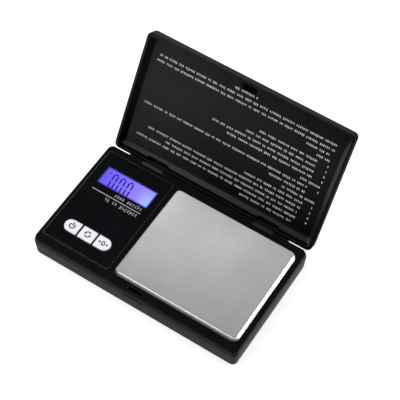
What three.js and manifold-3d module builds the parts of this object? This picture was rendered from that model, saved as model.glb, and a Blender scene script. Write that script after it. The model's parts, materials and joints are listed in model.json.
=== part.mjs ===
// Digital gram scale: a flat pocket balance with a hinged cover, a backlit display, three keys
// and a steel tray carried by a load cell. Millimetres, +Z up. X runs along the long side, +Y
// points at the hinge. The origin is the middle of the base's underside, and the cover is open.
import * as THREE from "three";
import { mergeVertices } from "three/addons/utils/BufferGeometryUtils.js";
import Module from "manifold-3d";

const wasm = await Module();
wasm.setup();

// ---------------------------------------------------------------- driving dimensions
const GAP = 0.3; // air between two pieces that rest on each other
const CORNER_STEPS = 6; // facets round each plan corner

// base
const BASE_HALF_X = 63.6; // at the seam between the two case halves
const BASE_HALF_Y = 36.7;
const BASE_CORNER = 3;
const DECK_TOP = 13.4;
const DECK_THICK = 1.3;
const SEAM_Z = 10.35;
const WALL = 1.6;
const FLOOR_THICK = 1.8;
const FOOT_PROUD = 0.5;

// cover
const LID_OPEN_DEG = 120;
const LID_HALF_X = 63.2;
const LID_FRONT_Y = -36.5;
const LID_REAR_Y = 35.9;
const LID_THICK = 6.8;
const LID_DEPTH = 3.6; // from the rim down to the inner face
const LID_REST_GAP = 0.2; // between rim and deck when shut

// hinge
const HINGE_Y = 36.12;
const HINGE_Z = 10.64;
const KNUCKLE_R = 2.4;
const HINGE_HALF_X = 50.7; // the base's knuckles end here
const STATION_IN = 29.0; // a cover knuckle sits between these two distances from the middle
const STATION_OUT = 42.0;
const PIN_R = 0.8;

// display panel and keys
const PANEL = { x0: -60.8, x1: -18.45, y0: -31.3, y1: 32.2, r: 1.2 };
const PANEL_TOP = 14.3;
const WINDOW = { x0: -55.0, x1: -23.1, y0: 11.4, y1: 22.9, r: 0.3 };
const KEYS = { x0: -53.9, x1: -25.0, y: -19.55, r: 3.8, gap: 1.1 };
const KEY_NAMES = ["button_power", "button_mode", "button_tare"];
const KEY_TOP = 14.9;

// tray
const TRAY_TOP = 16.3;
const TRAY_RIM = { x0: -15.7, x1: 60.0, y0: -30.9, y1: 31.3, r: 3.4 };
const TRAY_SHEET = 0.5;
const TRAY_X = (TRAY_RIM.x0 + TRAY_RIM.x1) / 2;

// inside
const CELL_R = 5.2; // AAA cell
const CELL_LENGTH = 44.5;
const CELL_Z = 6.6;
const CELL_Y = [14.85, 25.45];
const BAY = { x0: 0.2, x1: 51.3, y0: 9.3, y1: 31.0 };
const BEAM = { x0: -16, x1: 28.5, half_y: 4, z0: 4.2, z1: 10.0 };
const BEAM_SCREWS_X = [-12.5, -6.5];
const TRAY_SCREWS_X = [19, 25];
const BOARD = { x0: -58.5, x1: -21.5, y0: -26.1, y1: 26.1, z0: 6.4, z1: 8.0 };
const CORNER_SCREW = { x: 57.5, y: 30 };
const FOOT_R = 3.4;
const SCREW_SHAFT_R = 1.0;

// ---------------------------------------------------------------- shape helpers
function solid(geometry) {
  const bare = geometry.clone();
  bare.deleteAttribute("normal");
  bare.deleteAttribute("uv");
  const merged = mergeVertices(bare, 1e-4);
  return new wasm.Manifold(
    new wasm.Mesh({
      numProp: 3,
      vertProperties: merged.attributes.position.array,
      triVerts: new Uint32Array(merged.index.array),
    }),
  );
}

function geometryFrom(shape) {
  const mesh = shape.getMesh();
  const geometry = new THREE.BufferGeometry();
  geometry.setAttribute("position", new THREE.BufferAttribute(mesh.vertProperties.slice(), 3));
  geometry.setIndex(new THREE.BufferAttribute(mesh.triVerts.slice(), 1));
  geometry.computeVertexNormals();
  return geometry;
}

// One level of a loft: a rectangle with round corners, anticlockwise from above.
function ring({ z, x0, x1, y0, y1, r }) {
  const corners = [
    [x1 - r, y1 - r],
    [x0 + r, y1 - r],
    [x0 + r, y0 + r],
    [x1 - r, y0 + r],
  ];
  const points = [];
  corners.forEach(([cx, cy], quarter) => {
    for (let step = 0; step <= CORNER_STEPS; step++) {
      const angle = ((quarter + step / CORNER_STEPS) * Math.PI) / 2;
      points.push([cx + r * Math.cos(angle), cy + r * Math.sin(angle), z]);
    }
  });
  return points;
}

// A closed body through the levels, lowest first.
function loft(levels) {
  const rings = levels.map(ring);
  const count = rings[0].length;
  const index = [];
  for (let level = 0; level + 1 < rings.length; level++) {
    for (let i = 0; i < count; i++) {
      const a = level * count + i;
      const b = level * count + ((i + 1) % count);
      index.push(a, b, b + count, a, b + count, a + count);
    }
  }
  const top = (rings.length - 1) * count;
  for (let i = 1; i + 1 < count; i++) {
    index.push(0, i + 1, i);
    index.push(top, top + i, top + i + 1);
  }
  const geometry = new THREE.BufferGeometry();
  geometry.setAttribute("position", new THREE.Float32BufferAttribute(rings.flat(2), 3));
  geometry.setIndex(index);
  return solid(geometry);
}

// A level centred on the origin in plan.
function level(z, halfX, halfY, r) {
  return { z, x0: -halfX, x1: halfX, y0: -halfY, y1: halfY, r };
}

// A plate with round corners, grown by `grow` all round.
function plate(area, z0, z1, grow = 0) {
  const { x0, x1, y0, y1, r = 0.5 } = area;
  const sides = { x0: x0 - grow, x1: x1 + grow, y0: y0 - grow, y1: y1 + grow };
  const corner = Math.max(r + grow, 0.05);
  return loft([
    { z: z0, ...sides, r: corner },
    { z: z1, ...sides, r: corner },
  ]);
}

function box(x0, x1, y0, y1, z0, z1) {
  const geometry = new THREE.BoxGeometry(x1 - x0, y1 - y0, z1 - z0);
  geometry.translate((x0 + x1) / 2, (y0 + y1) / 2, (z0 + z1) / 2);
  return solid(geometry);
}

function post(x, y, z0, z1, radius, sides = 20, topRadius = radius) {
  const geometry = new THREE.CylinderGeometry(topRadius, radius, z1 - z0, sides);
  geometry.rotateX(Math.PI / 2);
  geometry.translate(x, y, (z0 + z1) / 2);
  return solid(geometry);
}

// A rod along X.
function rodX(x0, x1, y, z, radius, sides = 24, endRadius = radius) {
  const geometry = new THREE.CylinderGeometry(endRadius, radius, x1 - x0, sides);
  geometry.rotateZ(-Math.PI / 2);
  geometry.translate((x0 + x1) / 2, y, z);
  return solid(geometry);
}

// A rod along Y.
function rodY(x, y0, y1, z, radius, sides = 20) {
  const geometry = new THREE.CylinderGeometry(radius, radius, y1 - y0, sides);
  geometry.translate(x, (y0 + y1) / 2, z);
  return solid(geometry);
}

// A profile in the YZ plane, as [y, z] points, drawn out along X.
function bar(profile, x0, x1) {
  const shape = new THREE.Shape(profile.map(([y, z]) => new THREE.Vector2(y, z)));
  const geometry = new THREE.ExtrudeGeometry(shape, { depth: x1 - x0, bevelEnabled: false });
  const turn = new THREE.Matrix4().makeBasis(
    new THREE.Vector3(0, 1, 0),
    new THREE.Vector3(0, 0, 1),
    new THREE.Vector3(1, 0, 0),
  );
  geometry.applyMatrix4(turn);
  geometry.translate(x0, 0, 0);
  return solid(geometry);
}

// A wire of a given radius through points.
function wire(points, radius, steps, sides = 6) {
  const path = new THREE.CatmullRomCurve3(points.map((p) => new THREE.Vector3(...p)));
  const section = new THREE.Shape();
  for (let i = 0; i < sides; i++) {
    const angle = (i / sides) * 2 * Math.PI;
    const x = radius * Math.cos(angle);
    const y = radius * Math.sin(angle);
    if (i === 0) section.moveTo(x, y);
    else section.lineTo(x, y);
  }
  return solid(new THREE.ExtrudeGeometry(section, { extrudePath: path, steps }));
}

function joined(first, ...rest) {
  return rest.reduce((whole, piece) => whole.add(piece), first);
}

function cut(whole, ...tools) {
  return tools.reduce((left, tool) => left.subtract(tool), whole);
}

// ---------------------------------------------------------------- materials
function material(color, roughness, metalness = 0, opacity = 1) {
  return new THREE.MeshStandardMaterial({
    color,
    roughness,
    metalness,
    opacity,
    transparent: opacity < 1,
  });
}

const CASE_BLACK = material(0x17181a, 0.5);
const LID_BLACK = material(0x1b1d1f, 0.4);
const PANEL_BLACK = material(0x101113, 0.42);
const KEY_GREY = material(0xd8dade, 0.45);
const STEEL = material(0xb4b5b8, 0.35, 1);
const ALUMINIUM = material(0xc2c4c8, 0.4, 1);
const ZINC = material(0xa8a9ab, 0.4, 1);
const SPRING_STEEL = material(0xc6c6c0, 0.3, 1);
const CLEAR = material(0xe6ecff, 0.08, 0, 0.35);
const LCD_BLUE = material(0x3a30ff, 0.2);
const GUIDE_WHITE = material(0xf2f4ff, 0.4);
const BOARD_GREEN = material(0x1f5c33, 0.5);
const CHIP_BLACK = material(0x0d0d0e, 0.3);
const RUBBER = material(0x202122, 0.85);
const SILICONE = material(0xe9e6de, 0.6);
const CELL_SLEEVE = material(0x2f6f8f, 0.35);
const WIRE_RED = material(0xb3201c, 0.45);
const WIRE_BLACK = material(0x141414, 0.5);

const scale = new THREE.Group();

function place(name, shape, look, parent = scale) {
  const mesh = new THREE.Mesh(geometryFrom(shape), look);
  mesh.name = name;
  parent.add(mesh);
  return mesh;
}

const DECK_UNDER = DECK_TOP - DECK_THICK;
const FOUR_CORNERS = [
  [-1, -1],
  [1, -1],
  [-1, 1],
  [1, 1],
].map(([sx, sy]) => [sx * CORNER_SCREW.x, sy * CORNER_SCREW.y]);

// ---------------------------------------------------------------- lower case
const LOWER_TOP = SEAM_Z - GAP / 2;
const BOSS_TOP = 8.2;
const FOOT_POCKET = 0.7;
const SCREW_POCKET = 2.5;
const DOOR = { x0: -0.2, x1: 52.0, y0: 7.5, y1: 35.6, z0: 0.05, z1: 0.85, r: 0.6 };
const DOOR_CHANNEL = 1.1;
const SLOT = { x0: -4.0, x1: 5.2, y0: -34.6, y1: -32.3 };

function lowerShell() {
  const outside = loft([
    level(0, BASE_HALF_X - 1.1, BASE_HALF_Y - 1.1, BASE_CORNER - 0.6),
    level(0.25, BASE_HALF_X - 0.72, BASE_HALF_Y - 0.72, BASE_CORNER - 0.3),
    level(0.8, BASE_HALF_X - 0.45, BASE_HALF_Y - 0.45, BASE_CORNER),
    level(LOWER_TOP, BASE_HALF_X, BASE_HALF_Y, BASE_CORNER),
  ]);
  const inside = loft([
    level(FLOOR_THICK, BASE_HALF_X - 2.1, BASE_HALF_Y - 2.1, BASE_CORNER - WALL),
    level(SEAM_Z + 2, BASE_HALF_X - WALL, BASE_HALF_Y - WALL, BASE_CORNER - WALL),
  ]);
  return cut(outside, inside);
}

function cellBay() {
  const wall = 0.8;
  const top = 11.4;
  const outer = box(
    BAY.x0 - wall, BAY.x1 + wall, BAY.y0 - wall, BAY.y1 + wall, FLOOR_THICK - 0.2, top,
  );
  return cut(outer, box(BAY.x0, BAY.x1, BAY.y0, BAY.y1, FLOOR_THICK - 1, top + 1));
}

function boardPosts() {
  const inset = 3;
  const xs = [BOARD.x0 + inset, BOARD.x1 - inset];
  const ys = [BOARD.y0 + inset, BOARD.y1 - inset];
  return xs.flatMap((x) => ys.map((y) => post(x, y, 1, BOARD.z0 - GAP, 1.4, 12)));
}

function lowerCase() {
  const beamSeat = box(BEAM.x0, -4, -BEAM.half_y, BEAM.half_y, 1, BEAM.z0 - GAP);
  const bosses = FOUR_CORNERS.map(([x, y]) => post(x, y, 1, BOSS_TOP, 3.4));
  let body = joined(lowerShell(), cellBay(), beamSeat, ...bosses, ...boardPosts());
  for (const [x, y] of FOUR_CORNERS) {
    body = cut(
      body,
      post(x, y, -1, FOOT_POCKET, FOOT_R + GAP),
      post(x, y, -1, SCREW_POCKET, 2.4),
      post(x, y, -1, BOSS_TOP + 1, 1.3, 16),
    );
  }
  for (const x of BEAM_SCREWS_X) body = cut(body, post(x, 0, 2, 8, 1.7, 16));
  // cell opening in the floor, and the channel in which the door slides off to the rear
  body = cut(
    body,
    box(BAY.x0 + 1, BAY.x1 - 1, BAY.y0 + 0.4, BAY.y1 - 0.4, -1, FLOOR_THICK + 1),
    box(DOOR.x0 - GAP, DOOR.x1 + GAP, DOOR.y0 - GAP, BASE_HALF_Y + 2, -1, DOOR_CHANNEL),
  );
  // room for the hinge along the rear wall, deeper behind the cover's knuckles
  body = cut(body, box(-HINGE_HALF_X - 0.4, HINGE_HALF_X + 0.4, 33.0, 40, 7.9, 12));
  for (const side of [-1, 1]) {
    const near = side * (STATION_IN - 1.6);
    const far = side * (STATION_OUT + 1.6);
    body = cut(body, box(Math.min(near, far), Math.max(near, far), 32.0, 40, 7.2, 12));
  }
  // finger groove in the middle of the front edge
  return cut(body, box(SLOT.x0 - 0.8, SLOT.x1 + 1.6, -BASE_HALF_Y - 1, -35.5, 9.5, 12));
}
place("bottom_case", lowerCase(), CASE_BLACK);

// ---------------------------------------------------------------- upper case
const POCKET_FLOOR = 12.7;
const LCD_HOLE = { x0: -57.8, x1: -21.8, y0: 8.4, y1: 26.6, r: 0.5 };
const KEY_HOLE = { x0: -55.8, x1: -23.1, y0: KEYS.y - 5.6, y1: KEYS.y + 5.6, r: 4 };
const POST_HOLE = { x0: TRAY_X - 9.6, x1: TRAY_X + 9.6, y0: -6, y1: 6, r: 1 };

function upperShell() {
  const outside = loft([
    level(SEAM_Z + GAP / 2, BASE_HALF_X, BASE_HALF_Y, BASE_CORNER),
    level(DECK_TOP - 0.65, BASE_HALF_X - 0.38, BASE_HALF_Y - 0.38, BASE_CORNER),
    level(DECK_TOP - 0.2, BASE_HALF_X - 0.52, BASE_HALF_Y - 0.52, BASE_CORNER),
    level(DECK_TOP, BASE_HALF_X - 0.85, BASE_HALF_Y - 0.85, BASE_CORNER - 0.3),
  ]);
  const inside = loft([
    level(SEAM_Z - 2, BASE_HALF_X - WALL, BASE_HALF_Y - WALL, BASE_CORNER - WALL),
    level(DECK_UNDER, BASE_HALF_X - WALL - 0.2, BASE_HALF_Y - WALL - 0.2, BASE_CORNER - WALL),
  ]);
  return cut(outside, inside);
}

// The tongue that locates the upper half inside the lower one.
function tongue() {
  const outerX = BASE_HALF_X - WALL - 0.45;
  const outerY = BASE_HALF_Y - WALL - 0.45;
  const bottom = SEAM_Z - 1.4;
  const wall = 1;
  const ringBody = plate({ x0: -outerX, x1: outerX, y0: -outerY, y1: outerY, r: 1.2 }, bottom, 12.4);
  const hollow = plate(
    { x0: wall - outerX, x1: outerX - wall, y0: wall - outerY, y1: outerY - wall, r: 0.6 },
    bottom - 1,
    DECK_UNDER,
  );
  return cut(ringBody, hollow);
}

function hingeBlock() {
  const barrel = rodX(-HINGE_HALF_X, HINGE_HALF_X, HINGE_Y, HINGE_Z, KNUCKLE_R, 28);
  const web = box(-HINGE_HALF_X, HINGE_HALF_X, 34.0, HINGE_Y, HINGE_Z - KNUCKLE_R, 12.6);
  const pockets = [-1, 1].map((side) => {
    const near = side * (STATION_IN - 1.2);
    const far = side * (STATION_OUT + 1.2);
    return box(Math.min(near, far), Math.max(near, far), 32.3, HINGE_Y, 7.6, 12.6);
  });
  return joined(barrel, web, ...pockets);
}

function upperCase() {
  const bosses = FOUR_CORNERS.map(([x, y]) => post(x, y, BOSS_TOP + GAP, 12.4, 2.6));
  let body = joined(upperShell(), tongue(), hingeBlock(), ...bosses);
  for (const [x, y] of FOUR_CORNERS) body = cut(body, post(x, y, 0, 11.7, 1.2, 16));
  // a round pocket for each cover knuckle, open to the rear above the hinge line
  const clear = KNUCKLE_R + 0.5;
  for (const side of [-1, 1]) {
    const x0 = Math.min(side * STATION_IN, side * STATION_OUT);
    const x1 = Math.max(side * STATION_IN, side * STATION_OUT);
    body = cut(
      body,
      rodX(x0, x1, HINGE_Y, HINGE_Z, clear, 28),
      box(x0, x1, HINGE_Y - 1, 41, HINGE_Z, DECK_TOP + 1),
      box(x0, x1, HINGE_Y - 0.2, 41, 6, DECK_TOP + 1),
      side < 0
        ? rodX(-52, -23.5, HINGE_Y, HINGE_Z, PIN_R + 0.2, 16)
        : rodX(23.5, 52, HINGE_Y, HINGE_Z, PIN_R + 0.2, 16),
    );
  }
  return cut(
    body,
    plate(PANEL, POCKET_FLOOR, DECK_TOP + 1, GAP),
    plate(LCD_HOLE, 10, 20),
    plate(KEY_HOLE, 10, 20),
    plate(POST_HOLE, 10, 20),
    box(SLOT.x0, SLOT.x1, SLOT.y0, SLOT.y1, 10, 20),
  );
}
place("top_case", upperCase(), CASE_BLACK);

// ---------------------------------------------------------------- display panel, window and keys
const PANEL_BOTTOM = POCKET_FLOOR + GAP;
const GLASS_TOP = 13.5;

// The plan of the whole pill-shaped key group, drawn in by `inset` all round.
function keyOutline(inset = 0) {
  const { x0, x1, y, r } = KEYS;
  const half = r - inset;
  return { x0: x0 + inset, x1: x1 - inset, y0: y - half, y1: y + half, r: half - 0.01 };
}

function displayPanel() {
  const bevel = 0.35;
  const blank = loft([
    { z: PANEL_BOTTOM, ...PANEL },
    { z: PANEL_TOP - bevel, ...PANEL },
    {
      z: PANEL_TOP,
      x0: PANEL.x0 + bevel,
      x1: PANEL.x1 - bevel,
      y0: PANEL.y0 + bevel,
      y1: PANEL.y1 - bevel,
      r: PANEL.r - bevel + 0.1,
    },
  ]);
  return cut(
    blank,
    plate(WINDOW, 10, 20),
    plate(keyOutline(), 10, 20, 0.25),
    plate({ x0: -57.3, x1: -22.3, y0: 8.7, y1: 26.3, r: 0.5 }, 10, GLASS_TOP + 0.15),
  );
}
place("display_panel", displayPanel(), PANEL_BLACK);
place("display_lens", plate(WINDOW, GLASS_TOP + 0.15, PANEL_TOP - 0.1, -0.12), CLEAR);

const GLASS = { x0: -57.0, x1: -22.6, y0: 9.0, y1: 26.0, r: 0.3 };
place("lcd_glass", plate(GLASS, 12.4, GLASS_TOP), LCD_BLUE);
const GUIDE = { x0: -56.8, x1: -22.8, y0: 11.2, y1: 26.0, r: 0.3 };
place("backlight", plate(GUIDE, 8.9, 12.0), GUIDE_WHITE);
place("zebra_strip", plate({ x0: -56.8, x1: -22.8, y0: 9.0, y1: 10.6, r: 0.2 }, 8.3, 12.1), RUBBER);
const FRAME = { x0: -58.9, x1: -20.6, y0: 7.6, y1: 27.1, r: 0.6 };
const FRAME_HOLE = { x0: -57.2, x1: -22.4, y0: 8.6, y1: 26.4, r: 0.3 };
place("lcd_frame", cut(plate(FRAME, 8.5, 11.8), plate(FRAME_HOLE, 8, 13)), CASE_BLACK);

const KEY_STEM_Z = 10.7;
const KEY_FLANGE = 1.0;
const KEY_WIDTH = (KEYS.x1 - KEYS.x0 - 2 * KEYS.gap) / 3;

// One third of the pill-shaped key group, with a flange under the panel.
function keyCap(i) {
  const x0 = KEYS.x0 + i * (KEY_WIDTH + KEYS.gap);
  const x1 = x0 + KEY_WIDTH;
  const crown = 0.4;
  const flange = 0.35;
  const whole = loft([
    { z: KEY_STEM_Z, ...keyOutline() },
    { z: KEY_TOP - crown, ...keyOutline() },
    { z: KEY_TOP, ...keyOutline(crown) },
  ]);
  const cap = whole.intersect(box(x0, x1, -40, 0, 5, 20));
  const skirt = plate(keyOutline(), KEY_STEM_Z, KEY_STEM_Z + KEY_FLANGE, flange);
  return joined(cap, skirt.intersect(box(x0 - flange, x1 + flange, -40, 0, 5, 20)));
}

KEY_NAMES.forEach((name, i) => {
  const x = KEYS.x0 + i * (KEY_WIDTH + KEYS.gap) + KEY_WIDTH / 2;
  place(name, keyCap(i), KEY_GREY);
  const body = box(x - 3, x + 3, KEYS.y - 3, KEYS.y + 3, BOARD.z1 + GAP, 9.6);
  place(`tact_switch_${i + 1}`, joined(body, post(x, KEYS.y, 9.2, 10.1, 1.6)), CHIP_BLACK);
});

// ---------------------------------------------------------------- main board
place("main_board", plate(BOARD, BOARD.z0, BOARD.z1), BOARD_GREEN);
const CHIP = { x: -40, y: -4 };
place(
  "controller_chip",
  joined(
    post(CHIP.x, CHIP.y, BOARD.z1 + GAP, 8.9, 4.6, 28, 4.2),
    post(CHIP.x, CHIP.y, 8.8, 9.7, 4.2, 28, 2.4),
  ),
  CHIP_BLACK,
);

// ---------------------------------------------------------------- load cell
function loadCell() {
  const beam = box(BEAM.x0, BEAM.x1, -BEAM.half_y, BEAM.half_y, BEAM.z0, BEAM.z1);
  const midZ = (BEAM.z0 + BEAM.z1) / 2;
  const flexures = [1.4, 11.2];
  const holes = flexures.map((x) => rodY(x, -5, 5, midZ, 2.2));
  const slot = box(flexures[0], flexures[1], -5, 5, midZ - 0.7, midZ + 0.7);
  const screwHoles = [...BEAM_SCREWS_X, ...TRAY_SCREWS_X].map((x) => post(x, 0, 0, 20, 1.7, 16));
  return cut(beam, ...holes, slot, ...screwHoles);
}
place("load_cell", loadCell(), ALUMINIUM);
place(
  "gauge_coating",
  plate({ x0: 1.6, x1: 11.0, y0: -3.2, y1: 3.2, r: 1.4 }, BEAM.z1 + GAP, 11.1),
  SILICONE,
);
BEAM_SCREWS_X.forEach((x, i) => {
  const head = post(x, 0, BEAM.z1 + GAP, 11.7, 2.4);
  place(`load_cell_screw_${i + 1}`, joined(head, post(x, 0, 2.4, 11, 1.4, 14)), ZINC);
});
place(
  "load_cell_cable",
  wire(
    [
      [1.2, -2.6, 10.9],
      [-4, -3.5, 10.8],
      [-14, -3.5, 10.8],
      [-19.5, -4.5, 10.0],
      [-24, -6, 8.8],
    ],
    0.45,
    16,
  ),
  WIRE_BLACK,
);

// ---------------------------------------------------------------- tray and its carrier
const CARRIER_Z = { foot: BEAM.z1 + GAP, plate: 14.0, top: 15.4 };

function trayCarrier() {
  const table = plate({ x0: TRAY_X - 30, x1: TRAY_X + 30, y0: -22, y1: 22, r: 4 }, CARRIER_Z.plate, CARRIER_Z.top);
  const lightening = [-1, 1].flatMap((sx) =>
    [-1, 1].map((sy) => {
      const x = TRAY_X + sx * 18;
      const y = sy * 12;
      return plate({ x0: x - 8, x1: x + 8, y0: y - 6, y1: y + 6, r: 2 }, 12, 17);
    }),
  );
  const stem = plate({ x0: TRAY_X - 8, x1: TRAY_X + 8, y0: -4.5, y1: 4.5, r: 1 }, CARRIER_Z.foot, 14.2);
  const holes = TRAY_SCREWS_X.map((x) => post(x, 0, 9, 13.6, 1.7, 16));
  return cut(joined(table, stem), ...lightening, ...holes);
}

// The pressed sheet: a flat top, a tight bend and a straight skirt that flares out.
function trayLevels(inset) {
  const steps = [
    [TRAY_TOP - 2.5, 0, 0],
    [TRAY_TOP - 0.45, 0.9, 0.8],
    [TRAY_TOP - 0.12, 1.1, 1.0],
    [TRAY_TOP, 1.4, 1.25],
  ];
  return steps.map(([z, pull, sharper]) => {
    const move = pull + inset;
    return {
      z: z - inset,
      x0: TRAY_RIM.x0 + move,
      x1: TRAY_RIM.x1 - move,
      y0: TRAY_RIM.y0 + move,
      y1: TRAY_RIM.y1 - move,
      r: TRAY_RIM.r - sharper - inset * 0.5,
    };
  });
}

place("tray_carrier", trayCarrier(), CASE_BLACK);
place("tray", cut(loft(trayLevels(0)), loft(trayLevels(TRAY_SHEET))), STEEL);
TRAY_SCREWS_X.forEach((x, i) => {
  const head = post(x, 0, 2.2, BEAM.z0 - GAP, 2.4);
  place(`tray_screw_${i + 1}`, joined(head, post(x, 0, 3, 13.2, 1.4, 14)), ZINC);
});

// ---------------------------------------------------------------- cells and contacts
const SPRING_LENGTH = 3.4;
const CONTACT_THICK = 0.4;
const LEFT_CONTACT_X = BAY.x0 + GAP;
const RIGHT_CONTACT_X = BAY.x1 - GAP - CONTACT_THICK;

// A cell whose plain end is at x and whose nub points along `toward`.
function aaaCell(x, y, toward) {
  const nub = 0.9;
  const plain = x + toward * (CELL_LENGTH - nub);
  const tip = x + toward * CELL_LENGTH;
  const can = rodX(Math.min(x, plain), Math.max(x, plain), y, CELL_Z, CELL_R, 32);
  const inner = plain - toward * 0.3;
  return joined(can, rodX(Math.min(inner, tip), Math.max(inner, tip), y, CELL_Z, 1.9, 16));
}

function coil(x0, x1, y, wideR, narrowR) {
  const turns = 2.5;
  const steps = 22;
  const points = [];
  for (let i = 0; i <= steps; i++) {
    const t = i / steps;
    const angle = t * turns * 2 * Math.PI;
    const r = wideR + (narrowR - wideR) * t;
    points.push([x0 + (x1 - x0) * t, y + r * Math.cos(angle), CELL_Z + r * Math.sin(angle)]);
  }
  return wire(points, 0.3, 40, 5);
}

function contactPlate(x, y0, y1, bumpY, bumpToward) {
  const sheet = box(x, x + CONTACT_THICK, y0, y1, 2.6, 10.6);
  if (bumpToward === 0) return sheet;
  const face = bumpToward > 0 ? x + 0.2 : x - 0.6;
  const bump = rodX(
    face, face + 0.8, bumpY, CELL_Z,
    bumpToward > 0 ? 2.2 : 1.2, 16, bumpToward > 0 ? 1.2 : 2.2,
  );
  return joined(sheet, bump);
}

const firstCellX = LEFT_CONTACT_X + CONTACT_THICK + GAP * 2 + SPRING_LENGTH;
const secondCellX = RIGHT_CONTACT_X - GAP * 2 - SPRING_LENGTH;
place("battery_1", aaaCell(firstCellX, CELL_Y[0], 1), CELL_SLEEVE);
place("battery_2", aaaCell(secondCellX, CELL_Y[1], -1), CELL_SLEEVE);
const leftCoilX = LEFT_CONTACT_X + CONTACT_THICK + 0.6;
const rightCoilX = RIGHT_CONTACT_X - 0.6;
place("battery_spring_1", coil(leftCoilX, firstCellX - 0.6, CELL_Y[0], 3.4, 2.2), SPRING_STEEL);
place("battery_spring_2", coil(rightCoilX, secondCellX + 0.6, CELL_Y[1], 3.4, 2.2), SPRING_STEEL);
place("contact_negative", contactPlate(LEFT_CONTACT_X, 10.5, 19.3, 0, 0), SPRING_STEEL);
place("contact_positive", contactPlate(LEFT_CONTACT_X, 21.2, 29.8, CELL_Y[1], 1), SPRING_STEEL);
place("contact_link", contactPlate(RIGHT_CONTACT_X, 10.5, 29.8, CELL_Y[0], -1), SPRING_STEEL);

const WIRE_END_X = -24;
place(
  "battery_wire_positive",
  wire([[-1.3, 24, 10.2], [-8, 22, 9.8], [-16, 12, 9.4], [WIRE_END_X, 4, 8.85]], 0.5, 14),
  WIRE_RED,
);
place(
  "battery_wire_negative",
  wire([[-1.3, 15, 10.2], [-9, 13, 9.8], [-17, 6, 9.4], [WIRE_END_X, 1, 8.85]], 0.5, 14),
  WIRE_BLACK,
);

function batteryDoor() {
  const panel = plate(DOOR, DOOR.z0, DOOR.z1);
  const middle = (DOOR.x0 + DOOR.x1) / 2;
  const grips = [0, 1, 2].map((i) => {
    const y = 27 + i * 2;
    return box(middle - 6, middle + 6, y, y + 0.8, -0.5, 0.3);
  });
  return cut(panel, ...grips);
}
place("battery_door", batteryDoor(), CASE_BLACK);

// ---------------------------------------------------------------- feet and case screws
FOUR_CORNERS.forEach(([x, y], i) => {
  place(`foot_${i + 1}`, post(x, y, -FOOT_PROUD, FOOT_POCKET - 0.1, FOOT_R, 24), RUBBER);
  const head = post(x, y, 1.0, SCREW_POCKET - 0.1, 2.0, 18);
  place(`case_screw_${i + 1}`, joined(head, post(x, y, 2.2, 11.3, SCREW_SHAFT_R, 12)), ZINC);
});

// ---------------------------------------------------------------- hinge pins
["left", "right"].forEach((name, i) => {
  const x0 = i === 0 ? -50.4 : 24.0;
  place(`hinge_pin_${name}`, rodX(x0, x0 + 26.4, HINGE_Y, HINGE_Z, PIN_R, 16), ZINC);
});

// ---------------------------------------------------------------- cover
// Drawn shut, rim down on the deck, then turned open about the hinge line.
const RIM_Z = DECK_TOP + LID_REST_GAP;
const LEDGE_Z = RIM_Z + 1.2;
const LID_FLOOR_Z = RIM_Z + LID_DEPTH;
const LID_TOP_Z = RIM_Z + LID_THICK;
const CATCH_POCKET = { half_x: 4.3, y0: -33.8, y1: -31.5, deep: 1.8 };
const CATCH_X = [-3.2, 4.4];
const DISH_RIM = { x: 61.7, front: -34.4, rear: 33.5 };
const DISH_FLOOR = { x: 58.9, front: -33.05, rear: 30.55 };

// The dish's plan at height z: its walls lean in from the rim to the floor.
function dishLevel(z) {
  const t = (z - RIM_Z) / LID_DEPTH;
  const mix = (a, b) => a + (b - a) * t;
  const x = mix(DISH_RIM.x, DISH_FLOOR.x);
  return {
    z,
    x0: -x,
    x1: x,
    y0: mix(DISH_RIM.front, DISH_FLOOR.front),
    y1: mix(DISH_RIM.rear, DISH_FLOOR.rear),
    r: mix(2.0, 0.6),
  };
}

// The cover's outline at height z, drawn in by `inset` all round.
function lidLevel(z, inset) {
  return {
    z,
    x0: inset - LID_HALF_X,
    x1: LID_HALF_X - inset,
    y0: LID_FRONT_Y + inset,
    y1: LID_REAR_Y - inset,
    r: BASE_CORNER - inset / 2,
  };
}

function lidKnuckle(side) {
  const near = side * (STATION_IN + 0.4);
  const far = side * (STATION_OUT - 0.4);
  const x0 = Math.min(near, far);
  const x1 = Math.max(near, far);
  return joined(
    rodX(x0, x1, HINGE_Y, HINGE_Z, KNUCKLE_R, 28),
    box(x0, x1, HINGE_Y - 0.8, HINGE_Y + 0.9, HINGE_Z, LEDGE_Z),
  );
}

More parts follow.
